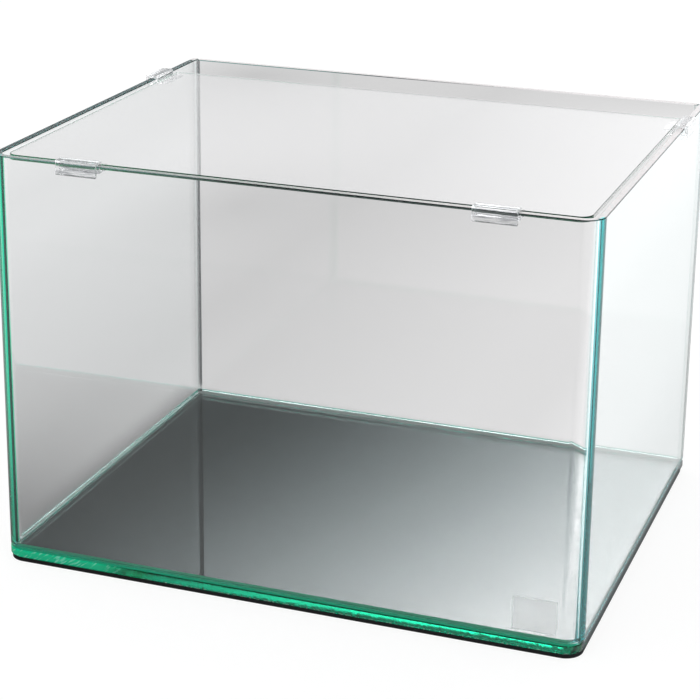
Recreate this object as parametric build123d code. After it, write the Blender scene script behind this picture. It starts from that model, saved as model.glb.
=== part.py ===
from build123d import *
import os

# Frameless nano aquarium: one bent sheet of glass forms the front and both sides, a flat pane closes
# the back, and a loose cover glass lies on four clear clips hooked over the rim.
# Lengths are in millimetres. The origin is at the middle of the mat's underside, +Z is up and the
# front pane faces -Y.

# Tank, over the outer faces of the glass
WIDTH = 400.0
DEPTH = 320.0
GLASS_HEIGHT = 280.0
WALL = 5.0
FLOOR = 6.0
BEND_RADIUS = 13.0
ARRIS = 0.6
FLOOR_ARRIS = 0.9

# Foam mat under the floor plate
MAT = 3.0
MAT_INSET = 1.0
MAT_REAR_RADIUS = 3.0
MAT_EDGE_RADIUS = 0.5

# Silicone: BOND is the joint between two panes, BEAD the leg of the fillet on the inside
BOND = 1.0
BOND_RECESS = 0.4
BEAD = 2.0
BEAD_HOLLOW = 0.3

# Cover glass: its inset is from the tank's outer faces, and REAR_OPENING is the gap behind it for
# food, cables and hoses
LID = 3.0
LID_INSET = 8.5
REAR_OPENING = 42.0
LID_BELOW_RIM = 0.6
LID_FRONT_RADIUS = 8.0
LID_REAR_RADIUS = 2.0
LID_ARRIS = 0.4

# Lid clips: one bent profile, cut to length and hooked over the rim
CLIP_LENGTH = 28.0
CLIP_THICKNESS = 2.0
CLIP_INNER_LEG = 1.5
CLIP_LEDGE = 1.7
CLIP_LEDGE_REACH = 15.0
CLIP_LEG_DROP = 7.5
CLIP_LEAD_IN = 0.9
CLIP_OUTER_RADIUS = 1.0
CLIP_SLOT_RADIUS = 0.25
CLIP_TIP_RADIUS = 0.5
CLIP_END_ARRIS = 0.25
CLIP_FROM_SIDE = 63.5
CLIP_FROM_REAR = 65.5

# Room between pieces that move against each other
RUNNING_GAP = 0.3

# Levels and faces that follow from the sizes above
floor_top = MAT + FLOOR
wall_foot = floor_top + BOND
rim = MAT + GLASS_HEIGHT
front = -DEPTH / 2
rear = DEPTH / 2
rear_inner = rear - WALL
side_inner = WIDTH / 2 - WALL


def plan(inset, back):
    """Plan outline set in from the outer faces: two rounded front corners, square at the back."""
    near = front + inset
    shape = Pos(0, (near + back) / 2) * Rectangle(WIDTH - 2 * inset, back - near)
    return fillet(shape.vertices().group_by(Axis.Y)[0], BEND_RADIUS - inset)


def slab(face, low, high):
    """Upright prism of a plan face between two levels."""
    return extrude(Pos(0, 0, low) * face, high - low)


def rims(solid):
    """The edge loops round the top and the bottom of an upright prism."""
    levels = solid.edges().group_by(Axis.Z)
    return levels[0] + levels[-1]


def upright_back_edges(solid):
    """The upright edges at the very back of an upright prism."""
    return solid.edges().filter_by(Axis.Z).group_by(Axis.Y)[-1]


def bead_corner(u_sign, v_sign):
    """Fillet of silicone in a right-angled corner at the origin, its free face slightly hollow."""
    leg_u = u_sign * BEAD
    leg_v = v_sign * BEAD
    sag = BEAD_HOLLOW / 2**0.5
    middle = (leg_u / 2 - u_sign * sag, leg_v / 2 - v_sign * sag)
    outline = Polyline((leg_u, 0), (0, 0), (0, leg_v)) + ThreePointArc((0, leg_v), middle, (leg_u, 0))
    return make_face(outline)


def base_mat():
    """Foam mat, a little smaller than the floor plate so that it stays out of sight from the side."""
    mat = slab(plan(MAT_INSET, rear - MAT_INSET), 0, MAT)
    mat = fillet(upright_back_edges(mat), MAT_REAR_RADIUS)
    return fillet(mat.edges().group_by(Axis.Z)[-1], MAT_EDGE_RADIUS)


def floor_glass():
    """Floor plate with a polished edge: both edge loops and the rear corners are arrissed."""
    plate = slab(plan(0, rear), MAT, floor_top)
    return chamfer(rims(plate) + upright_back_edges(plate), FLOOR_ARRIS)


def bent_front_glass():
    """Front and side panes bent from one sheet, so inner and outer bends share their centres."""
    outer = plan(0, rear)
    hollow = plan(WALL, rear + WALL)
    sheet = slab(outer - hollow, wall_foot, rim)
    return chamfer(rims(sheet) + upright_back_edges(sheet), ARRIS)


def rear_glass():
    """Flat pane between the wings of the bent sheet, with the joint's width left at each end."""
    face = Pos(0, (rear_inner + rear) / 2) * Rectangle(2 * (side_inner - BOND), WALL)
    pane = slab(face, wall_foot, rim)
    return chamfer(pane.edges(), ARRIS)


def floor_seal_section():
    """Strip under a pane joined to its inner bead: the pane's inner face rises from the origin."""
    strip = Pos(-(WALL - BOND_RECESS) / 2, BOND / 2) * Rectangle(WALL - BOND_RECESS, BOND)
    foot = Pos(BEAD / 2, BOND / 2) * Rectangle(BEAD, BOND)
    return strip + foot + Pos(0, BOND) * bead_corner(1, 1)


def floor_seal_front():
    """Joint under the bent sheet and its inner bead, swept along the foot of the inner face."""
    near = front + WALL
    path = Polyline((-side_inner, rear), (-side_inner, near), (side_inner, near), (side_inner, rear))
    path = Pos(0, 0, floor_top) * path
    path = fillet(path.vertices().sort_by(Axis.Y)[:2], BEND_RADIUS - WALL)
    at_start = Plane(origin=(-side_inner, rear, floor_top), x_dir=(1, 0, 0), z_dir=(0, -1, 0))
    seal = sweep(at_start * floor_seal_section(), path)
    pane_zone = Pos(0, rear_inner + WALL / 2, floor_top + BEAD) * Box(2 * side_inner, WALL, 4 * BEAD)
    end_zone = Pos(0, rear, floor_top) * Box(WIDTH, 2 * BOND_RECESS, 4 * BEAD)
    return seal - pane_zone - end_zone


def floor_seal_rear(front_seal):
    """Joint under the rear pane and its inner bead, stopped against the front seal."""
    at_right = Plane(origin=(side_inner, rear_inner, floor_top), x_dir=(0, -1, 0), z_dir=(-1, 0, 0))
    return extrude(at_right * floor_seal_section(), 2 * side_inner) - front_seal


def corner_seal(side, floor_seals):
    """Upright joint between a wing and the end of the rear pane, with its inner bead."""
    edge = side * side_inner
    strip_depth = WALL - BOND_RECESS
    strip = Pos(edge - side * BOND / 2, rear_inner + strip_depth / 2) * Rectangle(BOND, strip_depth)
    foot = Pos(edge - side * BOND / 2, rear_inner - BEAD / 2) * Rectangle(BOND, BEAD)
    bead = Pos(edge - side * BOND, rear_inner) * bead_corner(-side, -1)
    seal = slab(strip + foot + bead, floor_top, rim - BOND_RECESS)
    for floor_seal in floor_seals:
        seal = seal - floor_seal
    return seal


def lid_glass():
    """Loose cover glass just below the rim. It ends short of the rear pane to leave a gap."""
    near = front + LID_INSET
    far = rear_inner - REAR_OPENING
    face = Pos(0, (near + far) / 2) * Rectangle(WIDTH - 2 * LID_INSET, far - near)
    face = fillet(face.vertices().group_by(Axis.Y)[0], LID_FRONT_RADIUS)
    face = fillet(face.vertices().group_by(Axis.Y)[-1], LID_REAR_RADIUS)
    top = rim - LID_BELOW_RIM
    plate = slab(face, top - LID, top)
    return chamfer(rims(plate), LID_ARRIS)


def lid_clip():
    """Clip at the origin: the rim's outer top edge runs along X and the tank lies towards +Y."""
    outer = -RUNNING_GAP - CLIP_THICKNESS
    slot_far = WALL + RUNNING_GAP
    inner = slot_far + CLIP_INNER_LEG
    roof = RUNNING_GAP + CLIP_THICKNESS
    ledge_top = -LID_BELOW_RIM - LID - RUNNING_GAP
    ledge_foot = ledge_top - CLIP_LEDGE
    outline = [
        (outer, -CLIP_LEG_DROP),
        (outer, roof),
        (inner, roof),
        (inner, ledge_top),
        (CLIP_LEDGE_REACH, ledge_top),
        (CLIP_LEDGE_REACH, ledge_foot),
        (slot_far, ledge_foot),
        (slot_far, RUNNING_GAP),
        (-RUNNING_GAP, RUNNING_GAP),
        (-RUNNING_GAP, CLIP_LEAD_IN - CLIP_LEG_DROP),
        (-RUNNING_GAP - CLIP_LEAD_IN, -CLIP_LEG_DROP),
    ]
    radii = {
        0: CLIP_TIP_RADIUS,
        1: CLIP_OUTER_RADIUS,
        2: CLIP_OUTER_RADIUS,
        3: CLIP_TIP_RADIUS,
        4: CLIP_TIP_RADIUS,
        5: CLIP_TIP_RADIUS,
        6: CLIP_TIP_RADIUS,
        7: CLIP_SLOT_RADIUS,
        8: CLIP_SLOT_RADIUS,
    }
    section = make_face(Polyline(*outline, close=True))
    for index, radius in radii.items():
        corner = Vertex(*outline[index], 0)
        section = fillet(section.vertices().sort_by_distance(corner)[:1], radius)
    across = Plane(origin=(-CLIP_LENGTH / 2, 0, 0), x_dir=(0, 1, 0), z_dir=(1, 0, 0))
    clip = extrude(across * section, CLIP_LENGTH)
    ends = clip.edges().group_by(Axis.X)
    return chamfer(ends[0] + ends[-1], CLIP_END_ARRIS)


def placed_clips():
    """The four clips: two on the front rim and one near the back of each side."""
    clip = lid_clip()
    side = WIDTH / 2
    front_x = side - CLIP_FROM_SIDE
    side_y = rear - CLIP_FROM_REAR
    return {
        "lid_clip_front_left": Pos(-front_x, front, rim) * clip,
        "lid_clip_front_right": Pos(front_x, front, rim) * clip,
        "lid_clip_left": Pos(-side, side_y, rim) * Rot(0, 0, -90) * clip,
        "lid_clip_right": Pos(side, side_y, rim) * Rot(0, 0, 90) * clip,
    }


front_seal = floor_seal_front()
rear_seal = floor_seal_rear(front_seal)
nodes = {
    "base_mat": base_mat(),
    "floor_glass": floor_glass(),
    "bent_front_glass": bent_front_glass(),
    "rear_glass": rear_glass(),
    "floor_seal_front": front_seal,
    "floor_seal_rear": rear_seal,
    "corner_seal_left": corner_seal(-1, [front_seal, rear_seal]),
    "corner_seal_right": corner_seal(1, [front_seal, rear_seal]),
    "lid_glass": lid_glass(),
}
nodes.update(placed_clips())

os.makedirs("parts", exist_ok=True)
for name, shape in nodes.items():
    export_step(shape, f"parts/{name}.step")
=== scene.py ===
"""Frameless nano aquarium: glass, silicone, mat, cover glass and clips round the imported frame."""

import math

import bmesh
import bpy
import numpy as np
from bpy.props import FloatProperty, FloatVectorProperty, IntProperty, PointerProperty
from mathutils import Matrix, Vector


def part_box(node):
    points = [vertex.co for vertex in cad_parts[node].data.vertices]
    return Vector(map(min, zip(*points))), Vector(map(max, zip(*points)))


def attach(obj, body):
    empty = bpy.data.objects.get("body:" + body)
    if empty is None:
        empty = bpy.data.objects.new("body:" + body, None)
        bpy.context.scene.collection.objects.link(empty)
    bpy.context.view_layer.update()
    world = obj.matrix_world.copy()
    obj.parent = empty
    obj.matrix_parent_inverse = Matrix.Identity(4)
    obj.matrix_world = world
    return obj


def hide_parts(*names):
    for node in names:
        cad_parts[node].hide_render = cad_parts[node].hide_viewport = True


bl_info = {
    "name": "Nano aquarium",
    "version": (1, 0, 0),
    "blender": (4, 5, 0),
    "location": "3D View > Sidebar > Aquarium",
    "description": "Builds a frameless glass aquarium with its cover glass and clips",
    "category": "Add Mesh",
}

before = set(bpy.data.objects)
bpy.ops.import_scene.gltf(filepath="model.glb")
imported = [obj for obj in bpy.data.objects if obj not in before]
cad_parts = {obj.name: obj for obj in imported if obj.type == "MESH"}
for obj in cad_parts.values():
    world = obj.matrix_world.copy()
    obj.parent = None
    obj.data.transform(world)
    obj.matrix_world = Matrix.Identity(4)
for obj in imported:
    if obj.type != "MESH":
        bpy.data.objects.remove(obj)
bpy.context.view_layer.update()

MM = 0.001

# Places of the pieces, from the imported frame
MAT_LOW, MAT_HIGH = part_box("base_mat")
FLOOR_LOW, FLOOR_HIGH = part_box("floor_glass")
SHEET_LOW, SHEET_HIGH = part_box("bent_front_glass")
REAR_LOW, REAR_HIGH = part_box("rear_glass")
LID_LOW, LID_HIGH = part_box("lid_glass")
WALL = REAR_HIGH[1] - REAR_LOW[1]
RIM = SHEET_HIGH[2]
BEND_RADIUS = 13 * MM

# Each clip is a piece on the body of its name, and replaces the node with lid_ before its name
CLIPS = ("clip_front_left", "clip_front_right", "clip_left", "clip_right")

# Edges that turn by more than this are drawn sharp
SHARP_TURN = math.radians(28)


# ---- settings


def length(name, description, default):
    """Length, with its default in metres."""
    return FloatProperty(name=name, description=description, default=default, unit="LENGTH")


def colour_of_light(name, description, default):
    """Colour of light that has passed glass."""
    return FloatVectorProperty(
        name=name, description=description, default=default, subtype="COLOR", size=3, min=0, max=1
    )


def amount(name, description, default):
    """Number from nought up."""
    return FloatProperty(name=name, description=description, default=default, min=0)


def faces(name, description, default):
    """Number of faces round a curve."""
    return IntProperty(name=name, description=description, default=default, min=2)


class GlassSettings(bpy.types.PropertyGroup):
    """Sizes and look of the panes."""

    bend_radius: length("Bend radius", "Outer radius of the two bent front corners", BEND_RADIUS)
    arris: length("Arris", "Width taken off the edges of the panes", 0.6 * MM)
    floor_arris: length("Floor arris", "Width taken off the edges of the floor plate", 0.9 * MM)
    floor_rise: length("Floor rise", "Gap that keeps the floor plate clear of the mat", 0.05 * MM)
    cover_arris: length("Cover arris", "Width taken off the edges of the cover glass", 0.4 * MM)
    cover_front_radius: length("Cover front corners", "Radius of the cover's front corners", 8 * MM)
    cover_rear_radius: length("Cover rear corners", "Radius of the cover's rear corners", 2 * MM)
    bend_steps: faces("Bend steps", "Faces round each bend", 40)
    wall_tint: colour_of_light(
        "Wall tint", "Colour of light that passes a wall's faces", (1.0, 0.935, 0.937)
    )
    plate_tint: colour_of_light(
        "Plate tint",
        "Colour of light that passes the faces of the floor plate and the cover glass",
        (0.992, 0.948, 0.955),
    )
    wall_depth_colour: colour_of_light(
        "Wall depth colour", "Colour that a long way through a wall leaves", (0.0, 0.905, 0.908)
    )
    wall_depth_density: amount("Wall depth density", "Light taken up by a wall, per metre", 13.5)
    floor_depth_colour: colour_of_light(
        "Floor depth colour",
        "Colour that a long way through the floor plate leaves",
        (0.0, 0.81, 0.69),
    )
    floor_depth_density: amount("Floor depth density", "The same for the floor plate", 16.0)
    cover_depth_density: amount("Cover depth density", "The same for the cover glass", 10.0)


class MatSettings(bpy.types.PropertyGroup):
    """Sizes of the foam mat."""

    inset: length("Inset", "How far the mat stays inside the floor plate", 1 * MM)
    rear_radius: length("Rear corners", "Radius of the mat's rear corners", 3 * MM)
    top_radius: length("Top edge", "Radius of the mat's upper edge", 0.5 * MM)
    foot_arris: length("Foot arris", "Width taken off the mat's lower edge", 0.25 * MM)


class SealSettings(bpy.types.PropertyGroup):
    """Sizes of the silicone joints."""

    bead: length("Bead", "Leg of the silicone fillet on the inside", 2 * MM)
    hollow: length("Hollow", "How far the fillet's face is tooled in", 0.4 * MM)
    recess: length("Recess", "How far the joint stays back from the outer faces", 0.4 * MM)
    bite: length("Bite", "How far the silicone reaches into the glass, to shut out air", 0.04 * MM)


class ClipSettings(bpy.types.PropertyGroup):
    """Sizes of the clips."""

    wall: length("Wall", "Thickness of the clip's outer leg and roof", 2 * MM)
    inner_leg: length("Inner leg", "Thickness of the leg inside the wall", 1.5 * MM)
    ledge: length("Ledge", "Thickness of the ledge that carries the cover glass", 1.7 * MM)
    reach: length("Reach", "How far in the ledge ends, from the wall's outer face", 15 * MM)
    drop: length("Drop", "How far the outer leg comes down below the rim", 7.5 * MM)
    lead_in: length("Lead-in", "Width of the slant at the outer leg's foot", 0.9 * MM)
    gap: length("Gap", "Room between clip and glass", 0.3 * MM)
    roof_radius: length("Roof corners", "Radius of the roof's two corners", 1 * MM)
    tip_radius: length("Tip corners", "Radius of the leg's foot and the ledge's corners", 0.5 * MM)
    lead_radius: length("Lead-in corners", "Radius of the two ends of the slant", 0.3 * MM)
    slot_radius: length("Slot corners", "Radius of the slot's two corners", 0.25 * MM)
    end_arris: length("End arris", "Width taken off the edges of the cut ends", 0.25 * MM)
    corner_steps: faces("Corner steps", "Faces round each corner of the section", 6)


class LabelSettings(bpy.types.PropertyGroup):
    """Blank clear label on the front."""

    place: FloatVectorProperty(
        name="Place",
        description="Lower left corner of the label, from the middle of the tank's underside",
        subtype="TRANSLATION",
        size=2,
        default=(156 * MM, 15.5 * MM),
    )
    width: length("Width", "Width of the label", 28.5 * MM)
    height: length("Height", "Height of the label", 22.5 * MM)
    thickness: length("Thickness", "Thickness of the film", 0.12 * MM)
    corner: length("Corner", "Radius of the label's corners", 0.8 * MM)
    bite: length("Bite", "How far the film reaches into the pane, so that no air shows", 0.02 * MM)


class StageSettings(bpy.types.PropertyGroup):
    """Camera and light."""

    camera_place: FloatVectorProperty(
        name="Camera place",
        description="Where the camera stands",
        subtype="TRANSLATION",
        size=3,
        default=(450.11 * MM, -1283.29 * MM, 620.44 * MM),
    )
    camera_turn: FloatVectorProperty(
        name="Camera turn",
        description="Yaw, pitch below the horizon and roll of the camera",
        subtype="EULER",
        size=3,
        default=(math.radians(19.763), math.radians(17.87), math.radians(0.692)),
    )
    lens: amount("Lens", "Focal length in millimetres", 106.533)
    shift: FloatProperty(
        name="Shift", description="Vertical lens shift, as a share of the frame", default=-0.114
    )
    light_level: amount("Light level", "Plain light that falls on matt surfaces", 0.9)


# ---- shapes


def rounded_rectangle(low, high, radii, steps, inset):
    """Plan outline from the rear right corner round. Corner k is a quarter circle of radii[k] about
    a centre that far inside both sides, in steps[k] faces; an inset shortens the radii and keeps
    the centres, and a corner with no radius left moves in along both sides."""
    corners = [
        (high[0], high[1], -1, -1, 0.0),
        (low[0], high[1], 1, -1, 0.5),
        (low[0], low[1], 1, 1, 1.0),
        (high[0], low[1], -1, 1, 1.5),
    ]
    points = []
    for (x, y, to_x, to_y, turn), radius, step in zip(corners, radii, steps):
        angle = math.pi * (turn + np.linspace(0, 0.5, step + 1))
        keep = max(radius - inset, 0.0)
        away = max(radius, inset)
        centre = np.array([x + to_x * away, y + to_y * away])
        points.append(centre + keep * np.stack([np.cos(angle), np.sin(angle)], -1))
    return np.concatenate(points)


def stack_outline(low, high, radii, steps, levels):
    """Rings of an upright prism: for each (inset, height) the plan outline, drawn in."""
    rings = []
    for inset, level in levels:
        outline = rounded_rectangle(low, high, radii, steps, inset)
        rings.append(np.column_stack([outline, np.full(len(outline), level)]))
    return np.stack(rings)


def wall_strand(inset, level, back, radius, steps):
    """Open line round the sheet at a depth into the glass: along the right wing, round a quarter
    circle, along the front, round the other quarter circle and back along the left wing. Both bends
    keep the centres of the outer radius."""
    angle = np.linspace(0, 0.5, steps + 1) * math.pi
    cos, sin, near = np.cos(angle), np.sin(angle), radius - inset
    right = np.array([SHEET_HIGH[0] - radius, SHEET_LOW[1] + radius])
    left = np.array([SHEET_LOW[0] + radius, SHEET_LOW[1] + radius])
    bends = right + near * np.stack([cos, -sin], -1), left - near * np.stack([sin, cos], -1)
    start, end = (SHEET_HIGH[0] - inset, back), (SHEET_LOW[0] + inset, back)
    strand = np.concatenate([[start], *bends, [end]])
    return np.column_stack([strand, np.full(len(strand), level)])


def hollow_line(start, end, sag, steps=8):
    """Parabola from start to end, drawn in by the sag at its middle towards the left of its run."""
    start, end = np.asarray(start, float), np.asarray(end, float)
    share = np.linspace(0, 1, steps + 1)[:, None]
    run = end - start
    side = np.array([-run[1], run[0]]) / np.hypot(*run)
    return start + share * run + 4 * sag * share * (1 - share) * side


def filleted(outline, radii, steps):
    """Closed polygon with an arc at each corner: an arc of radius r starts r x tan(half the turn)
    before the corner and goes round a point on the corner's bisector."""
    before = outline - np.roll(outline, 1, axis=0)
    after = np.roll(outline, -1, axis=0) - outline
    before /= np.linalg.norm(before, axis=1)[:, None]
    after /= np.linalg.norm(after, axis=1)[:, None]
    cross = before[:, 0] * after[:, 1] - before[:, 1] * after[:, 0]
    turn = np.arctan2(cross, (before * after).sum(1))
    share = np.linspace(0, 1, steps + 1)
    points = []
    for corner, way, angle, radius in zip(outline, before, turn, radii):
        side = math.copysign(1.0, angle)
        normal = side * np.array([-way[1], way[0]])
        start = corner - way * radius * math.tan(abs(angle) / 2)
        sweep = share * abs(angle)
        bend = np.outer(np.sin(sweep), way) + np.outer(1 - np.cos(sweep), normal)
        points.append(start + radius * bend)
    return np.concatenate(points)


def drawn_in(outline, inset):
    """Closed polygon moved in by an inset, each point along the mean of its two sides' normals."""
    before = outline - np.roll(outline, 1, axis=0)
    after = np.roll(outline, -1, axis=0) - outline
    before /= np.maximum(np.linalg.norm(before, axis=1), 1e-12)[:, None]
    after /= np.maximum(np.linalg.norm(after, axis=1), 1e-12)[:, None]
    normal = np.stack([-(before + after)[:, 1], (before + after)[:, 0]], -1)
    normal /= np.linalg.norm(normal, axis=1)[:, None]
    spread = np.abs(normal[:, 0] * -before[:, 1] + normal[:, 1] * before[:, 0])
    return outline + normal * (inset / np.maximum(spread, 0.5))[:, None]


# ---- meshes


def ring_mesh(name, rings, closed=False):
    """Closed solid through rings of points, shape (stations, points, 3): quads join each ring to
    the next. A closed run joins its last ring to its first, and an open one gets a flat face at
    each end."""
    rings = np.asarray(rings, np.float64)
    stations, count = rings.shape[:2]
    index = np.arange(stations * count).reshape(stations, count)
    if closed:
        index = np.concatenate([index, index[:1]])
    after = np.roll(index, -1, axis=1)
    faces = np.stack([index[:-1], after[:-1], after[1:], index[1:]], -1).reshape(-1, 4).tolist()
    if not closed:
        faces += [index[0, ::-1].tolist(), index[-1].tolist()]
    mesh = bpy.data.meshes.new(name)
    mesh.from_pydata(rings.reshape(-1, 3), [], faces)
    shell = bmesh.new()
    shell.from_mesh(mesh)
    bmesh.ops.remove_doubles(shell, verts=shell.verts, dist=1e-7)
    bmesh.ops.recalc_face_normals(shell, faces=shell.faces)
    shell.to_mesh(mesh)
    shell.free()
    return mesh


def place_piece(name, mesh, body, slot, material, *nodes):
    """Puts a finished mesh in the scene as a piece that rides on a body and replaces CAD nodes."""
    mesh.shade_smooth()
    mesh.set_sharp_from_angle(angle=SHARP_TURN)
    piece = bpy.data.objects.new(name, mesh)
    bpy.context.scene.collection.objects.link(piece)
    mesh.materials.append(material)
    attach(piece, body)
    if nodes:
        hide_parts(*nodes)


def mark_edges(mesh, lying):
    """Face attribute "ground": 1 on a pane's edges and arrises and 0 on its big faces, which are
    those whose normal's upright part is over 0.95 for a lying pane, or under 0.05 for a wall."""
    normals = np.empty(len(mesh.polygons) * 3)
    mesh.polygons.foreach_get("normal", normals)
    upright = np.abs(normals.reshape(-1, 3)[:, 2])
    big = upright > 0.95 if lying else upright < 0.05
    attribute = mesh.attributes.new("ground", "FLOAT", "FACE")
    attribute.data.foreach_set("value", np.where(big, 0.0, 1.0))
    return mesh


def flat_pane(name, low, high, radii, steps, arris, lying):
    """Pane of a rounded outline: an upright prism whose two edge loops lose a flat arris."""
    foot, top = low[2], high[2]
    levels = [(arris, foot), (0.0, foot + arris), (0.0, top - arris), (arris, top)]
    return mark_edges(ring_mesh(name, stack_outline(low, high, radii, steps, levels)), lying)


# ---- material nodes


# Share of a lamp's light that a clear surface passes, apart from its tint
SHADOW_LIGHT = 0.95


def new_material(name):
    """Empty node material."""
    material = bpy.data.materials.new(name)
    material.use_nodes = True
    tree = material.node_tree
    tree.nodes.clear()
    return material, tree


def feed(tree, target, value):
    """Joins a socket to an input, or writes a number, a place or an opaque colour into it."""
    if isinstance(value, bpy.types.NodeSocket):
        tree.links.new(value, target)
    else:
        target.default_value = (*value, 1) if target.type == "RGBA" else value


def add_node(tree, kind, operation=None, **values):
    """Adds a shader node of a kind and feeds its inputs by name."""
    node = tree.nodes.new("ShaderNode" + kind)
    if operation:
        node.operation = operation
    for name, value in values.items():
        feed(tree, node.inputs[name.replace("_", " ")], value)
    return node


def math_node(tree, operation, *values):
    """Math node over sockets or numbers."""
    node = add_node(tree, "Math", operation)
    for target, value in zip(node.inputs, values):
        feed(tree, target, value)
    return node.outputs[0]


def most(tree, first, second):
    """The larger of two sockets or numbers."""
    return math_node(tree, "MAXIMUM", first, second)


def minus(tree, first, second):
    """The difference of two sockets or numbers."""
    return math_node(tree, "SUBTRACT", first, second)


def times(tree, product, *factors):
    """Product of sockets and numbers."""
    for factor in factors:
        product = math_node(tree, "MULTIPLY", product, factor)
    return product


def line(tree, value, slope, base):
    """Slope times a socket, plus a base."""
    return math_node(tree, "ADD", times(tree, value, slope), base)


def span(tree, value, target, source=(0.0, 1.0), soft=False):
    """Moves a socket's range from the source's ends to the target's, straight or as a soft step."""
    node = add_node(tree, "MapRange", Value=value)
    if soft:
        node.interpolation_type = "SMOOTHSTEP"
    for item, end in zip(node.inputs[1:5], (*source, *target)):
        item.default_value = end
    return node.outputs[0]


def between(tree, value, start, end):
    """Soft step that rises from 0 to 1 as a socket goes from start to end."""
    if start < end:
        return span(tree, value, (0.0, 1.0), (start, end), soft=True)
    return span(tree, value, (1.0, 0.0), (end, start), soft=True)


def zone(tree, *steps):
    """1 where each socket is past its soft step: the steps are (socket, start, end)."""
    return times(tree, *(between(tree, *step) for step in steps))


def places(tree, kind="Object"):
    """Coordinates, whole and by axis."""
    place = add_node(tree, "TexCoord").outputs[kind]
    return (place, *add_node(tree, "SeparateXYZ", Vector=place).outputs)


def stretched(tree, scale):
    """Object coordinates, stretched."""
    place = add_node(tree, "TexCoord").outputs["Object"]
    return add_node(tree, "Mapping", Vector=place, Scale=scale).outputs[0]


def noise(tree, scale, detail, stretch=(1, 1, 1)):
    """Noise over Object coordinates."""
    place = stretched(tree, stretch)
    return add_node(tree, "TexNoise", Vector=place, Scale=scale, Detail=detail).outputs["Fac"]


def bump(tree, height, strength, distance, **below):
    """Bump over a height socket, on top of another bump where Normal is given."""
    node = add_node(tree, "Bump", Height=height, Strength=strength, Distance=distance, **below)
    return node.outputs[0]


def ramp(tree, share, tones):
    """Straight colour ramp over evenly spread tones, or over (position, tone) stops."""
    node = add_node(tree, "ValToRGB", Fac=share)
    stops = tones if len(tones[0]) == 2 else list(zip((0.0, 1.0), tones))
    for _ in stops[2:]:
        node.color_ramp.elements.new(0.5)
    for element, (position, tone) in zip(node.color_ramp.elements, stops):
        element.position = position
        element.color = (*tone, 1)
    return node.outputs["Color"]


def blend(tree, share, first, second):
    """Colour that goes from first to second as a socket goes from 0 to 1."""
    mix = add_node(tree, "Mix", Factor=share)
    mix.data_type = "RGBA"
    colours = [item for item in mix.inputs if item.type == "RGBA"]
    for target, value in zip(colours, (first, second)):
        feed(tree, target, value)
    return next(item for item in mix.outputs if item.type == "RGBA")


def layered(tree, colour, *layers):
    """Colour with layers over it, the last one on top: each is (share, colour)."""
    for share, tone in layers:
        colour = blend(tree, share, colour, tone)
    return colour


def mix_shaders(tree, share, first, second):
    """Shader that goes from first to second as a socket goes from 0 to 1."""
    mix = add_node(tree, "MixShader")
    for target, source in zip(mix.inputs, (share, first.outputs[0], second.outputs[0])):
        tree.links.new(source, target)
    return mix


def finish_surface(tree, shader):
    """Material output."""
    return add_node(tree, "OutputMaterial", Surface=shader.outputs[0])


def clear_surface(tree, shader, tint):
    """Shader that refracts what is seen through it and lets lamps through as tinted panes do."""
    passed = [SHADOW_LIGHT * level for level in tint]
    through = add_node(tree, "BsdfTransparent", Color=passed)
    shadow = add_node(tree, "LightPath").outputs["Is Shadow Ray"]
    return finish_surface(tree, mix_shaders(tree, shadow, shader, through))


# ---- finishes
#
# A glass finish says how matt the edge is, the colour of light that passes the faces, with painted
# glow and shade in it, and how much the clear part of the edge is frosted. Its places are in metres
# from the middle of the underside.


def plate_finish(tree, tint, ground):
    """Floor plate: slanting wheel strokes on the left of the front edge, which is matt towards its
    end and painted with a bright green glow of the light carried in the plate, a matt edge on the
    right side painted dark slate as shade, and a dotted matt line along the lower arris."""
    place, x, y, z = places(tree)
    slant = add_node(tree, "Mapping", Vector=place, Scale=(0.0014, 0.05, 0.009))
    slant.vector_type = "TEXTURE"
    slant.inputs["Rotation"].default_value = (0.0, math.radians(52), 0.0)
    strokes = add_node(tree, "TexNoise", Vector=slant.outputs[0], Scale=1.0, Detail=2.0)
    strokes = between(tree, strokes.outputs["Fac"], 0.5, 0.66)
    left_front = zone(tree, (x, -0.085, -0.1), (y, -0.14, -0.155))
    left_end = times(tree, left_front, between(tree, x, -0.1, -0.135))
    side = between(tree, z, FLOOR_HIGH[2] - 0.05 * MM, FLOOR_HIGH[2] - 0.2 * MM)
    right = times(tree, between(tree, x, FLOOR_HIGH[0] - 1.0 * MM, FLOOR_HIGH[0] - 0.6 * MM), side)
    arris_top = FLOOR_LOW[2] + 1.0 * MM
    dots = between(tree, noise(tree, 1.0, 1.0, (700, 700, 100)), 0.5, 0.62)
    dots = times(tree, dots, between(tree, z, arris_top + 0.1 * MM, arris_top), 0.6)
    matt = times(tree, most(tree, left_end, right), 0.75)
    # Painted glow: the left of the front edge is painted bright green, streaked by the wheel
    # strokes, for light carried in the plate.
    green = blend(tree, strokes, (0.002, 0.82, 0.42), (0.25, 1.0, 0.72))
    left_painted_glow = times(tree, left_front, side)
    # Painted shade: the matt edge on the right side is painted dark slate.
    colour = layered(tree, tint, (left_painted_glow, green), (right, (0.025, 0.08, 0.085)))
    return most(tree, matt, dots), colour, 0.0


def round_bends(tree, x, y):
    """The angle round the nearer bend's centre, from 0 facing front to 90 degrees facing sideways,
    and 1 on the bends' outer faces, which lie a bend radius from that centre."""
    across = minus(tree, math_node(tree, "ABSOLUTE", x), SHEET_HIGH[0] - BEND_RADIUS)
    ahead = minus(tree, SHEET_LOW[1] + BEND_RADIUS, y)
    square = math_node(tree, "ADD", times(tree, across, across), times(tree, ahead, ahead))
    outer = between(tree, square, (BEND_RADIUS - 3 * MM) ** 2, (BEND_RADIUS - 1 * MM) ** 2)
    return math_node(tree, "ARCTAN2", across, ahead), outer


def arc(tree, angle, *degrees):
    """1 between the middle two of four angles, and soft out to the other two."""
    start, full, last, end = (math.radians(value) for value in degrees)
    return zone(tree, (angle, start, full), (angle, end, last))


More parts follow.
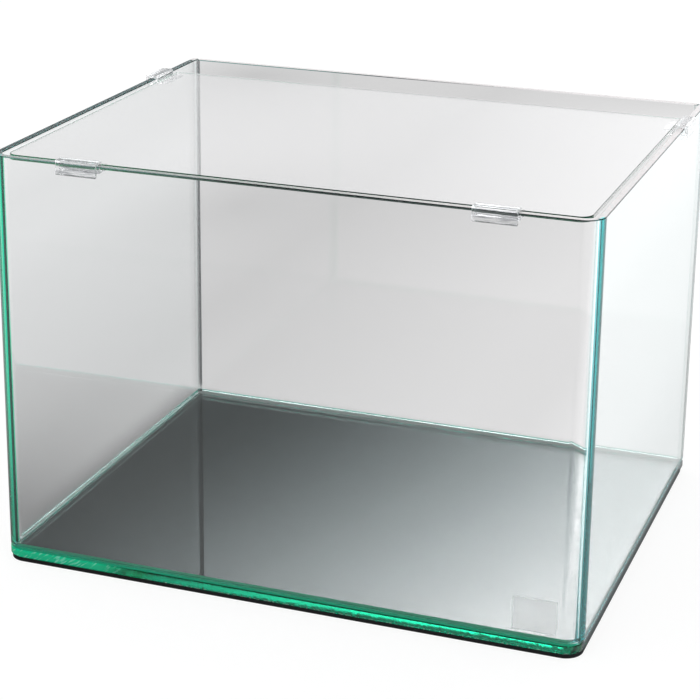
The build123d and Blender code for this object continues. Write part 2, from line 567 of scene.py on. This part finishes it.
def wall_finish(tree, tint, ground):
    """Walls: the top rim is ground, coarser towards the right and the back and only frosted at the
    far left, where it is painted dark slate as shade, with arrises beside it painted dark as shade,
    and the sawn foot has fine wheel marks across it under a painted green glow, teal on the right.
    The bends' outer faces are painted with the light that runs inside the sheet: a green glow with
    a painted dark band of shade on the left, and a teal glow with a painted dark band in front of
    it on the right, deeper low down."""
    _, x, y, z = places(tree)
    rim = between(tree, z, RIM - 0.3 * MM, RIM - 0.1 * MM)
    rear = between(tree, y, 0.150, 0.155)
    wear_front = times(tree, between(tree, x, -0.198, -0.19), 0.4)
    wear_right = times(tree, between(tree, x, -0.1, 0.2), 0.6)
    wear = most(tree, math_node(tree, "ADD", wear_front, wear_right), rear)
    grain = times(tree, line(tree, noise(tree, 500.0, 3.0), 0.5, 0.6), wear)
    foot = between(tree, z, SHEET_LOW[2] + 0.8 * MM, SHEET_LOW[2] + 0.4 * MM)
    marks = times(tree, between(tree, noise(tree, 1.0, 2.0, (40, 700, 40)), 0.4, 0.65), 0.6)
    matt = math_node(tree, "ADD", times(tree, rim, grain), times(tree, foot, marks))
    # Painted shade: the rim of the left wing is painted dark slate; it is also frosted.
    left_rim_painted_shade = times(tree, rim, between(tree, x, -0.19, -0.198), minus(tree, 1.0, rear))

    # Painted light on the bends: a glow for the light that runs inside the sheet, green on the left
    # and teal on the right, deeper low down, each with a painted dark band of shade.
    angle, outer = round_bends(tree, x, y)
    left = times(tree, outer, between(tree, x, 0.1, -0.1), arc(tree, angle, 25, 28, 79, 84))
    left_painted_shade = times(tree, left, arc(tree, angle, 39, 42, 60, 64))
    right = times(tree, outer, between(tree, x, -0.1, 0.1))
    right_painted_glow = times(tree, right, arc(tree, angle, 60, 64, 81, 84))
    right_painted_shade = times(tree, right, arc(tree, angle, 51, 54, 60, 63))
    low_down = between(tree, z, 0.25, 0.06)
    colour = layered(
        tree,
        tint,
        (left, (0.0002, 0.62, 0.22)),
        (left_painted_shade, (0.0001, 0.003, 0.001)),
        (right_painted_glow, blend(tree, low_down, (0.2, 1.0, 1.0), (0.004, 0.85, 0.9))),
        (right_painted_shade, blend(tree, low_down, (0.03, 0.25, 0.28), (0.002, 0.06, 0.06))),
        (left_rim_painted_shade, (0.03, 0.08, 0.09)),
    )

    # Painted shade: the rim and its arris are painted dark teal, darker from the middle rightwards
    # and near black on the right wing, but left unpainted on the rear pane's right part.
    arris = between(tree, z, RIM - 0.02 * MM, RIM - 0.12 * MM)
    pale_rear = times(tree, rear, between(tree, x, -0.05, 0.12))
    arris_painted_shade = layered(
        tree,
        (0.08, 0.22, 0.2),
        (between(tree, x, -0.13, -0.04), (0.02, 0.03, 0.035)),
        (between(tree, x, 0.19, 0.197), (0.0008, 0.008, 0.01)),
    )
    # Painted glow: the sawn foot is painted with the green of the light carried in the wall, teal
    # on the right wing, over the real wheel marks.
    foot_painted_glow = blend(tree, between(tree, x, 0.19, 0.196), (0.03, 0.66, 0.47), (0.1, 0.8, 0.85))
    colour = layered(
        tree,
        colour,
        (times(tree, arris, minus(tree, 1.0, pale_rear), ground), arris_painted_shade),
        (times(tree, foot, ground), foot_painted_glow),
    )
    return matt, colour, times(tree, left_rim_painted_shade, 0.5)


def cover_finish(tree, tint, ground):
    """Cover glass: its right edge is ground matt, and the others are polished edges painted dark
    green as shade, darkest along the middle of the front and the back."""
    _, x, _, _ = places(tree)
    side = between(tree, x, LID_HIGH[0] - 0.08 * MM, LID_HIGH[0] - 0.01 * MM)
    grain = line(tree, noise(tree, 400.0, 2.0), 0.4, 0.5)
    middle = zone(tree, (x, -0.13, -0.04), (x, 0.158, 0.15))
    # Painted shade: the polished edges are painted dark green, darkest along the middle of the
    # front and the back.
    edge = blend(tree, middle, (0.04, 0.3, 0.17), (0.02, 0.045, 0.04))
    polished = times(tree, ground, minus(tree, 1.0, side))
    return times(tree, side, grain), blend(tree, polished, tint, edge), 0.0


# ---- materials


def glass_material(name, tint, depth_colour, depth_density, streak_stretch, finish):
    """Float glass: clear faces with the slight roll of the float bath, ground and polished edges
    with fine wheel marks, matt and coloured with painted glow and shade as the finish says, and
    green taken up inside."""
    material, tree = new_material(name)
    ground = add_node(tree, "Attribute")
    ground.attribute_name = "ground"
    ground = ground.outputs["Fac"]
    matt, colour, frost = finish(tree, tint, ground)
    marks = times(tree, noise(tree, 1.0, 3.0, streak_stretch), noise(tree, 45.0, 1.0), ground)
    roll = bump(tree, noise(tree, 9.0, 1.0), 0.3, 0.00002)
    polish = math_node(tree, "ADD", frost, 0.035)
    shader = add_node(
        tree,
        "BsdfPrincipled",
        IOR=1.52,
        Base_Color=colour,
        Transmission_Weight=minus(tree, 1.0, times(tree, matt, ground)),
        Roughness=times(tree, ground, polish),
        Normal=bump(tree, marks, 0.35, 0.0004, Normal=roll),
    )
    output = clear_surface(tree, shader, tint)
    inside = add_node(tree, "VolumeAbsorption", Color=depth_colour, Density=depth_density)
    tree.links.new(inside.outputs[0], output.inputs["Volume"])
    return material


def silicone_material():
    """Clear silicone with the slight ripple that a wetted finger leaves, darker grey on the rear
    left corner joint, and painted green under the front pane as a glow for the light from the
    glass's cut edges."""
    material, tree = new_material("clear silicone")
    _, x, y, z = places(tree)
    above_bead = (z, FLOOR_HIGH[2] + 3 * MM, FLOOR_HIGH[2] + 9 * MM)
    # Darker grey on the rear left corner joint, above the bead.
    rear_left_grey = zone(tree, above_bead, (y, 0.1545, 0.1552), (x, 0.1, -0.1))
    # Painted glow: under the front pane the silicone is painted green and made less clear, for the
    # light from the glass's cut edges.
    front = between(tree, y, -0.152, -0.156)
    clear, dust, green = (0.90, 0.94, 0.93), (0.22, 0.225, 0.235), (0.01, 0.6, 0.34)
    shader = add_node(
        tree,
        "BsdfPrincipled",
        IOR=1.42,
        Base_Color=layered(tree, clear, (rear_left_grey, dust), (front, green)),
        Transmission_Weight=minus(tree, 1.0, times(tree, front, 0.6)),
        Roughness=span(tree, noise(tree, 60.0, 2.0), (0.0, 0.03)),
        Normal=bump(tree, noise(tree, 160.0, 2.0), 0.1, 0.0001),
    )
    clear_surface(tree, shader, (0.93, 0.95, 0.95))
    return material


def clip_material(name, stretch):
    """Clear drawn plastic: faint lines along the clip, some of them painted dark as reflections,
    and a trace of haze.
    """
    material, tree = new_material(name)
    lines = noise(tree, 1.0, 2.0, stretch)
    # Painted reflection: some lines along the clip are painted dark grey.
    painted_dark_lines = between(tree, lines, 0.53, 0.7)
    shader = add_node(
        tree,
        "BsdfPrincipled",
        IOR=1.49,
        Base_Color=blend(tree, painted_dark_lines, (0.93, 0.935, 0.94), (0.3, 0.31, 0.33)),
        Transmission_Weight=1.0,
        Roughness=span(tree, noise(tree, 120.0, 2.0), (0.0, 0.015)),
        Normal=bump(tree, lines, 0.2, 0.0001),
    )
    clear_surface(tree, shader, (0.97, 0.975, 0.98))
    return material


def foam_material():
    """Black closed-cell foam: cells of about half a millimetre, a little dust in them."""
    material, tree = new_material("black foam")
    cells = add_node(tree, "TexVoronoi", Vector=stretched(tree, (1, 1, 1)), Scale=1900.0)
    cells = cells.outputs["Distance"]
    cloud = noise(tree, 55.0, 3.0)
    dust = times(tree, cells, cloud)
    pores = bump(tree, cells, 0.5, 0.0003)
    shader = add_node(
        tree,
        "BsdfPrincipled",
        Specular_IOR_Level=0.3,
        Base_Color=ramp(tree, dust, ((0.004, 0.0042, 0.0048), (0.022, 0.023, 0.025))),
        Roughness=span(tree, cloud, (0.6, 0.9)),
        Normal=bump(tree, cloud, 0.2, 0.0006, Normal=pores),
    )
    finish_surface(tree, shader)
    return material


def film_material(middle, size):
    """Clear label film, faintly milky, with a satin face, a rim painted paler as a highlight where
    the film's cut edge catches the light, and a little orange peel from the adhesive. The rim is
    where the larger of the distances from the middle, each less half the label's size, comes near
    nought."""
    material, tree = new_material("label film")
    _, x, _, z = places(tree)
    out = []
    for value, centre, side in zip((x, z), middle, size):
        away = math_node(tree, "ABSOLUTE", minus(tree, value, centre))
        out.append(minus(tree, away, side / 2))
    rim_width = 0.45 * MM
    # Painted highlight: the rim is painted paler and less clear.
    rim = math_node(tree, "GREATER_THAN", most(tree, *out), -rim_width)
    milk = span(tree, noise(tree, 70.0, 2.0), (0.04, 0.16))
    shader = add_node(
        tree,
        "BsdfPrincipled",
        IOR=1.5,
        Alpha=most(tree, milk, times(tree, rim, 0.3)),
        Base_Color=ramp(tree, rim, ((0.55, 0.55, 0.56), (0.9, 0.9, 0.9))),
        Roughness=0.25,
        Normal=bump(tree, noise(tree, 900.0, 2.0), 0.2, 0.0001),
    )
    finish_surface(tree, shader)
    return material


# ---- studio


# What glass and gloss show of the studio: the backdrop's level by height, as the sine of the angle
# above the horizon, and how it falls off to the left, down to the least share
BACKDROP_HEIGHTS = (math.sin(math.radians(16.5)), math.sin(math.radians(20.8)))
BACKDROP_LEVELS = (1.475, 0.2)
BACKDROP_SLOPE = 0.98
BACKDROP_LEAST = 0.45

# Soft lamp behind on the right: its level rises along a direction, and ends softly on each axis
LAMP_WAY = (7.88, 0.0, 14.07)
LAMP_RISE = (2.29, 4.71)
LAMP_LEVEL = 2.227
LAMP_ENDS = ((0.12, -0.05), (0.35, 0.7), (0.72, 0.56))

# Painted light on the floor from left to right as glass shows it: x in metres and the level there
FLOOR_LEVELS = (
    (-0.95, 0.74),
    (-0.6, 0.65),
    (-0.28, 0.49),
    (0.0, 0.66),
    (0.07, 0.67),
    (0.14, 0.80),
    (0.22, 0.64),
    (0.38, 1.0),
    (0.8, 1.25),
)

# The table's highest level, what its levels are multiplied by, and what is added after the shade
FLOOR_BRIGHTEST = 1.25
FLOOR_GAIN = 1.39
FLOOR_BASE = 0.18

# Soft spots of painted shade on the floor: centre, radii and how much each takes at its middle
FLOOR_SPOTS = (
    ((-0.2381, -0.09375), (0.2381, 0.3125), 0.74),
    ((-0.62, 1.30), (0.45, 0.5), 0.40),
    ((-0.39, 0.70), (0.15, 0.30), 0.16),
    ((0.0, 1.42), (0.35, 0.24), 0.32),
)

# The floor is plain again beyond the second of these distances
FLOOR_FAR = (1.8, 3.0)
FLOOR_FAR_LEVEL = 1.1

# Half the floor's side, how pale the camera sees it, and its paper's colour to matt surfaces
FLOOR_HALF = 20.0
FLOOR_SEEN = 0.85
FLOOR_PAPER = 0.2


# ---- steps


class AQUARIUM_OT_stage(bpy.types.Operator):
    """Floor, light and the camera at the photograph's angle"""

    bl_idname = "aquarium.stage"
    bl_label = "Stage"

    def execute(self, context):
        settings = context.scene.aquarium_stage
        self.world(context, settings)
        self.floor()
        self.camera(context, settings)
        return {"FINISHED"}

    def kinds_of_ray(self, tree):
        """1 for what the camera sees directly, and 1 for what glass and gloss show."""
        ray = add_node(tree, "LightPath").outputs
        glass = most(tree, ray["Is Glossy Ray"], ray["Is Transmission Ray"])
        return ray["Is Camera Ray"], glass

    def world(self, context, settings):
        """Plain light for matt surfaces, white behind everything, and for glass a pale backdrop
        that darkens upwards and to the left, with one large soft lamp up behind on the right."""
        world = bpy.data.worlds.new("studio")
        context.scene.world = world
        world.use_nodes = True
        tree = world.node_tree
        tree.nodes.clear()
        place, x, y, z = places(tree, "Generated")
        backdrop = span(tree, z, BACKDROP_LEVELS, BACKDROP_HEIGHTS, soft=True)
        across = most(tree, line(tree, x, BACKDROP_SLOPE, 1.0), BACKDROP_LEAST)
        backdrop = times(tree, backdrop, across)
        along = add_node(tree, "VectorMath", "DOT_PRODUCT")
        for target, value in zip(along.inputs, (place, LAMP_WAY)):
            feed(tree, target, value)
        rise = span(tree, along.outputs["Value"], (0.0, LAMP_LEVEL), LAMP_RISE)
        ends = zone(tree, *((axis, *end) for axis, end in zip((x, y, z), LAMP_ENDS)))
        lamp = times(tree, math_node(tree, "POWER", rise, 2.0), ends)
        camera, glass = self.kinds_of_ray(tree)
        level = times(tree, math_node(tree, "ADD", backdrop, lamp), glass)
        warmth = most(tree, times(tree, rise, 0.45), between(tree, z, 0.36, 0.31))
        studio = add_node(
            tree,
            "Background",
            Strength=most(tree, level, camera),
            Color=ramp(tree, warmth, ((0.80, 0.96, 1.0), (0.99, 0.99, 1.0))),
        )
        plain = add_node(tree, "Background", Strength=settings.light_level, Color=(1, 1, 1))
        seen = most(tree, camera, glass)
        mix = mix_shaders(tree, seen, plain, studio)
        add_node(tree, "OutputWorld", Surface=mix.outputs[0])

    def floor(self):
        """Large sheet of paper, white to the camera. It takes the tank's shadow as matt paper, and
        to glass and gloss it glows with painted light and shade.
        """
        mesh = bpy.data.meshes.new("stage_floor")
        signs = ((-1, -1), (1, -1), (1, 1), (-1, 1))
        corners = [(x * FLOOR_HALF, y * FLOOR_HALF, 0) for x, y in signs]
        mesh.from_pydata(corners, [], [(0, 1, 2, 3)])
        floor = bpy.data.objects.new("stage_floor", mesh)
        bpy.context.scene.collection.objects.link(floor)
        material, tree = new_material("white paper")
        camera, glass = self.kinds_of_ray(tree)
        shown = times(tree, self.floor_in_glass(tree), glass)
        matt = times(tree, minus(tree, 1.0, glass), FLOOR_PAPER)
        paper = add_node(tree, "BsdfDiffuse", Color=matt)
        level = most(tree, shown, times(tree, camera, FLOOR_SEEN))
        glow = add_node(tree, "Emission", Strength=level)
        both = add_node(tree, "AddShader")
        tree.links.new(paper.outputs[0], both.inputs[0])
        tree.links.new(glow.outputs[0], both.inputs[1])
        finish_surface(tree, both)
        mesh.materials.append(material)

    def floor_in_glass(self, tree):
        """What glass shows of the floor, painted light and shade: levels from left to right, times
        the painted shade round the tank and in front of it and the soft painted spots, and a plain
        level far away."""
        place, x, y, _ = places(tree)
        stops = [((at + 1) / 2, (level / FLOOR_BRIGHTEST,) * 3) for at, level in FLOOR_LEVELS]
        across = times(tree, ramp(tree, line(tree, x, 0.5, 0.5), stops), FLOOR_GAIN)
        in_front = line(tree, between(tree, y, -0.45, -0.12), 0.4, 0.6)
        shade = times(tree, self.contact_shade(tree, x, y), in_front)
        for centre, radii, taken in FLOOR_SPOTS:
            centre, radii = (*centre, 0.0), (*radii, 1.0)
            spot = add_node(tree, "Mapping", Vector=place, Location=centre, Scale=radii)
            spot.vector_type = "TEXTURE"
            spot = add_node(tree, "TexGradient", Vector=spot.outputs[0])
            spot.gradient_type = "QUADRATIC_SPHERE"
            shade = times(tree, shade, line(tree, spot.outputs["Fac"], -taken, 1.0))
        level = line(tree, across, shade, FLOOR_BASE)
        distance = add_node(tree, "VectorMath", "LENGTH", Vector=place)
        far = between(tree, distance.outputs["Value"], *FLOOR_FAR)
        near_part = times(tree, level, minus(tree, 1.0, far))
        return math_node(tree, "ADD", near_part, times(tree, far, FLOOR_FAR_LEVEL))

    def contact_shade(self, tree, x, y):
        """Dark under the tank and 35 mm round it, 7 mm on the right, with a dark strip 5 mm wide
        along the right edge, by how far a place is beyond each side of the floor plate."""
        left = minus(tree, FLOOR_LOW[0], x)
        right = minus(tree, x, FLOOR_HIGH[0])
        deep = minus(tree, math_node(tree, "ABSOLUTE", y), FLOOR_HIGH[1])
        away = most(tree, left, times(tree, right, 5.0))
        away = most(tree, away, deep)
        clear = between(tree, right, 4.5 * MM, 6.5 * MM)
        clear = most(tree, clear, between(tree, right, 0.0, -2 * MM))
        clear = most(tree, clear, between(tree, deep, 0.0, 4 * MM))
        light = math_node(tree, "MINIMUM", between(tree, away, -4 * MM, 35 * MM), clear)
        return line(tree, light, 0.88, 0.12)

    def camera(self, context, settings):
        """Camera that faces down, carried to its place, yawed, raised to its pitch and rolled."""
        data = bpy.data.cameras.new("camera")
        camera = bpy.data.objects.new("camera", data)
        context.scene.collection.objects.link(camera)
        yaw, pitch, roll = settings.camera_turn
        pose = Matrix.Translation(settings.camera_place)
        for angle, axis in ((yaw, "Z"), (math.pi / 2 - pitch, "X"), (roll, "Z")):
            pose = pose @ Matrix.Rotation(angle, 4, axis)
        camera.matrix_world = pose
        data.sensor_width = 36.0
        data.lens = settings.lens
        data.shift_y = settings.shift
        data.clip_start = 0.01
        data.clip_end = 100.0
        context.scene.camera = camera


class AQUARIUM_OT_panes(bpy.types.Operator):
    """Floor plate, bent sheet, rear pane and cover glass"""

    bl_idname = "aquarium.panes"
    bl_label = "Glass panes"

    def execute(self, context):
        settings = context.scene.aquarium_glass
        tint, deep = settings.wall_tint, settings.wall_depth_colour
        density, fine_marks = settings.wall_depth_density, (900, 900, 900)
        walls = glass_material("wall glass", tint, deep, density, fine_marks, wall_finish)
        tint, deep = settings.plate_tint, settings.floor_depth_colour
        density, marks = settings.floor_depth_density, (420, 420, 160)
        plate = glass_material("floor plate glass", tint, deep, density, marks, plate_finish)
        density = settings.cover_depth_density
        cover = glass_material("cover glass", tint, deep, density, marks, cover_finish)
        arris, bend, steps = settings.floor_arris, settings.bend_radius, settings.bend_steps
        low = FLOOR_LOW + Vector((0, 0, settings.floor_rise))
        radii, steps = (arris, arris, bend, bend), (1, 1, steps, steps)
        mesh = flat_pane("floor_plate", low, FLOOR_HIGH, radii, steps, arris, True)
        place_piece("floor_plate", mesh, "tank", "floor_glass", plate, "floor_glass")
        mesh = mark_edges(self.bent_sheet(settings), False)
        place_piece("bent_sheet", mesh, "tank", "pane_glass", walls, "bent_front_glass")
        arris = settings.arris
        radii, steps = (arris,) * 4, (1,) * 4
        mesh = flat_pane("rear_pane", REAR_LOW, REAR_HIGH, radii, steps, arris, False)
        place_piece("rear_pane", mesh, "tank", "pane_glass", walls, "rear_glass")
        arris, front = settings.cover_arris, settings.cover_front_radius
        back = settings.cover_rear_radius
        radii, steps = (back, back, front, front), (8, 8, 20, 20)
        mesh = flat_pane("cover_glass", LID_LOW, LID_HIGH, radii, steps, arris, True)
        place_piece("cover_glass", mesh, "cover_glass", "lid_glass", cover, "lid_glass")
        return {"FINISHED"}

    def bent_sheet(self, settings):
        """Arrissed rectangle in depth and height, carried along the sheet's line round the tank."""
        arris = settings.arris
        low, high, back = SHEET_LOW[2], SHEET_HIGH[2], SHEET_HIGH[1]
        section = [
            (arris, low),
            (WALL - arris, low),
            (WALL, low + arris),
            (WALL, high - arris),
            (WALL - arris, high),
            (arris, high),
            (0.0, high - arris),
            (0.0, low + arris),
        ]
        bend, steps = settings.bend_radius, settings.bend_steps
        strands = [wall_strand(depth, level, back - arris, bend, steps) for depth, level in section]
        rings = np.stack(strands, axis=1)
        depth = np.clip([point[0] for point in section], arris, WALL - arris)
        level = np.clip([point[1] for point in section], low + arris, high - arris)
        right = np.column_stack([SHEET_HIGH[0] - depth, np.full(len(depth), back), level])
        left = right * (-1, 1, 1)
        return ring_mesh("bent_sheet", np.concatenate([right[None], rings, left[None]]))


class AQUARIUM_OT_seals(bpy.types.Operator):
    """Silicone under the walls, in the two rear corners and in the inner fillets"""

    bl_idname = "aquarium.seals"
    bl_label = "Silicone joints"

    def execute(self, context):
        settings = context.scene.aquarium_seals
        glass = context.scene.aquarium_glass
        silicone = silicone_material()
        mesh = self.floor_bead(settings, glass)
        nodes = "floor_seal_front", "floor_seal_rear"
        place_piece("floor_bead", mesh, "tank", "silicone", silicone, *nodes)
        for side, name in ((-1, "corner_seal_left"), (1, "corner_seal_right")):
            corner = self.corner_bead(settings, side)
            place_piece(name.replace("seal", "bead"), corner, "tank", "silicone", silicone, name)
        return {"FINISHED"}

    def floor_bead(self, settings, glass):
        """Strip under the walls and hollow fillet beside it, carried once round the tank."""
        bead, bite = settings.bead, settings.bite
        low, foot, outer = FLOOR_HIGH[2] - bite, SHEET_LOW[2], settings.recess
        fillet = hollow_line((WALL + bead, low), (WALL - bite, foot + bead), settings.hollow)
        top = [(WALL - bite, foot + bite), (outer, foot + bite)]
        section = np.concatenate([[(outer, low)], fillet, top])
        radii = (0, 0, glass.bend_radius, glass.bend_radius)
        steps = (1, 1, glass.bend_steps, glass.bend_steps)
        strands = stack_outline(SHEET_LOW, SHEET_HIGH, radii, steps, section)
        return ring_mesh("floor_bead", strands.swapaxes(0, 1), closed=True)

    def corner_bead(self, settings, side):
        """Strip between a wing and the rear pane's end with a hollow fillet inside, carried up."""
        bead, bite = settings.bead, settings.bite
        wing = SHEET_HIGH[0] - WALL + bite
        end, inner, outer = REAR_HIGH[0], REAR_LOW[1], REAR_HIGH[1] - settings.recess
        fillet = hollow_line((end - bead, inner + bite), (wing, inner - bead), -settings.hollow)
        strip = [(wing, outer), (end - bite, outer), (end - bite, inner + bite)]
        outline = np.concatenate([fillet, strip]) * (side, 1)
        levels = (FLOOR_HIGH[2] + bead / 2, RIM - settings.recess)
        rings = [np.column_stack([outline, np.full(len(outline), level)]) for level in levels]
        return ring_mesh("corner_bead", np.stack(rings))


class AQUARIUM_OT_mat(bpy.types.Operator):
    """Foam mat under the floor plate"""

    bl_idname = "aquarium.mat"
    bl_label = "Foam mat"

    def execute(self, context):
        settings = context.scene.aquarium_mat
        low, high = MAT_LOW[2], MAT_HIGH[2]
        foot, top = settings.foot_arris, settings.top_radius
        turn = np.linspace(0, math.pi / 2, 6)
        levels = [(foot, low), (0.0, low + foot)]
        levels += list(zip(top * (1 - np.cos(turn)), high - top + top * np.sin(turn)))
        front = context.scene.aquarium_glass.bend_radius - settings.inset
        rear = settings.rear_radius
        radii, steps = (rear, rear, front, front), (8, 8, 30, 30)
        rings = stack_outline(MAT_LOW, MAT_HIGH, radii, steps, levels)
        mesh = ring_mesh("foam_mat", rings)
        place_piece("foam_mat", mesh, "tank", "foam_mat", foam_material(), "base_mat")
        return {"FINISHED"}


class AQUARIUM_OT_clips(bpy.types.Operator):
    """Four clear clips that hold the cover glass"""

    bl_idname = "aquarium.clips"
    bl_label = "Clips"

    def execute(self, context):
        settings = context.scene.aquarium_clips
        along_front = clip_material("clear plastic, front", (60, 1100, 1100))
        along_side = clip_material("clear plastic, side", (1100, 60, 1100))
        outline = self.section(settings)
        for name in CLIPS:
            low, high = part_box("lid_" + name)
            mesh = ring_mesh(name, self.place(outline, low, high, settings))
            plastic = along_front if "front" in name else along_side
            place_piece(name, mesh, name, "clear_plastic", plastic, "lid_" + name)
        return {"FINISHED"}

    def section(self, settings):
        """Section of the clip inward from the wall's outer face and up from the rim: an outer leg,
        a roof over the rim, an inner leg and the ledge that carries the cover glass."""
        gap = settings.gap
        outer, slot, roof = -gap - settings.wall, WALL + gap, gap + settings.wall
        inner, reach = slot + settings.inner_leg, settings.reach
        ledge = LID_LOW[2] - gap - RIM
        foot = ledge - settings.ledge
        drop, lead = -settings.drop, settings.lead_in
        round_tip, round_lead = settings.tip_radius, settings.lead_radius
        round_slot, round_roof = settings.slot_radius, settings.roof_radius
        corners = np.array(
            [
                (outer, drop, round_tip),
                (-gap - lead, drop, round_lead),
                (-gap, drop + lead, round_lead),
                (-gap, gap, round_slot),
                (slot, gap, round_slot),
                (slot, foot, round_tip),
                (reach, foot, round_tip),
                (reach, ledge, round_tip),
                (inner, ledge, round_tip),
                (inner, roof, round_roof),
                (outer, roof, round_roof),
            ]
        )
        return filleted(corners[:, :2], corners[:, 2], settings.corner_steps)

    def place(self, outline, low, high, settings):
        """The section carried along the clip's length, drawn in at both ends by the arris."""
        arris = settings.end_arris
        small = drawn_in(outline, arris)
        along_x = high[0] - low[0] > high[1] - low[1]
        start, end = (low[0], high[0]) if along_x else (low[1], high[1])
        cuts = (start, start + arris, end - arris, end)
        rings = []
        for at, ring in zip(cuts, (small, outline, outline, small)):
            along = np.full(len(ring), at)
            up = RIM + ring[:, 1]
            if along_x:
                rings.append(np.column_stack([along, SHEET_LOW[1] + ring[:, 0], up]))
            else:
                side = math.copysign(1.0, low[0])
                rings.append(np.column_stack([side * (SHEET_HIGH[0] - ring[:, 0]), along, up]))
        return np.stack(rings)


class AQUARIUM_OT_label(bpy.types.Operator):
    """Blank label film on the front, low on the right"""

    bl_idname = "aquarium.label"
    bl_label = "Blank label"

    def execute(self, context):
        settings = context.scene.aquarium_label
        x, z = settings.place
        low, high = (x, z), (x + settings.width, z + settings.height)
        thick = settings.thickness
        cut = thick * 0.4
        levels = [(0.0, -settings.bite), (0.0, thick - cut), (cut, thick)]
        radii, steps = (settings.corner,) * 4, (8,) * 4
        rings = stack_outline(low, high, radii, steps, levels)
        rings = np.stack([rings[..., 0], SHEET_LOW[1] - rings[..., 2], rings[..., 1]], -1)
        size = (settings.width, settings.height)
        film = film_material((x + settings.width / 2, z + settings.height / 2), size)
        place_piece("front_label", ring_mesh("front_label", rings), "tank", "clear_plastic", film)
        return {"FINISHED"}


STEPS = ("stage", "mat", "panes", "seals", "clips", "label")


class AQUARIUM_PT_panel(bpy.types.Panel):
    """Lists the steps that build the aquarium"""

    bl_idname = "AQUARIUM_PT_panel"
    bl_label = "Nano aquarium"
    bl_space_type = "VIEW_3D"
    bl_region_type = "UI"
    bl_category = "Aquarium"

    def draw(self, context):
        for step in STEPS:
            self.layout.operator(f"aquarium.{step}")


SETTINGS = {
    "aquarium_glass": GlassSettings,
    "aquarium_mat": MatSettings,
    "aquarium_seals": SealSettings,
    "aquarium_clips": ClipSettings,
    "aquarium_label": LabelSettings,
    "aquarium_stage": StageSettings,
}
CLASSES = (
    *SETTINGS.values(),
    AQUARIUM_OT_stage,
    AQUARIUM_OT_mat,
    AQUARIUM_OT_panes,
    AQUARIUM_OT_seals,
    AQUARIUM_OT_clips,
    AQUARIUM_OT_label,
    AQUARIUM_PT_panel,
)


def register():
    for item in CLASSES:
        bpy.utils.register_class(item)
    for name, settings in SETTINGS.items():
        setattr(bpy.types.Scene, name, PointerProperty(type=settings))


def unregister():
    for name in SETTINGS:
        delattr(bpy.types.Scene, name)
    for item in reversed(CLASSES):
        bpy.utils.unregister_class(item)


def main():
    register()
    scene = bpy.context.scene
    scene.view_settings.view_transform = "Standard"
    for kind in ("max", "glossy", "transmission"):
        setattr(scene.cycles, f"{kind}_bounces", 128)
    scene.cycles.transparent_max_bounces = 32
    for step in STEPS:
        getattr(bpy.ops.aquarium, step)()


if __name__ == "__main__":
    main()
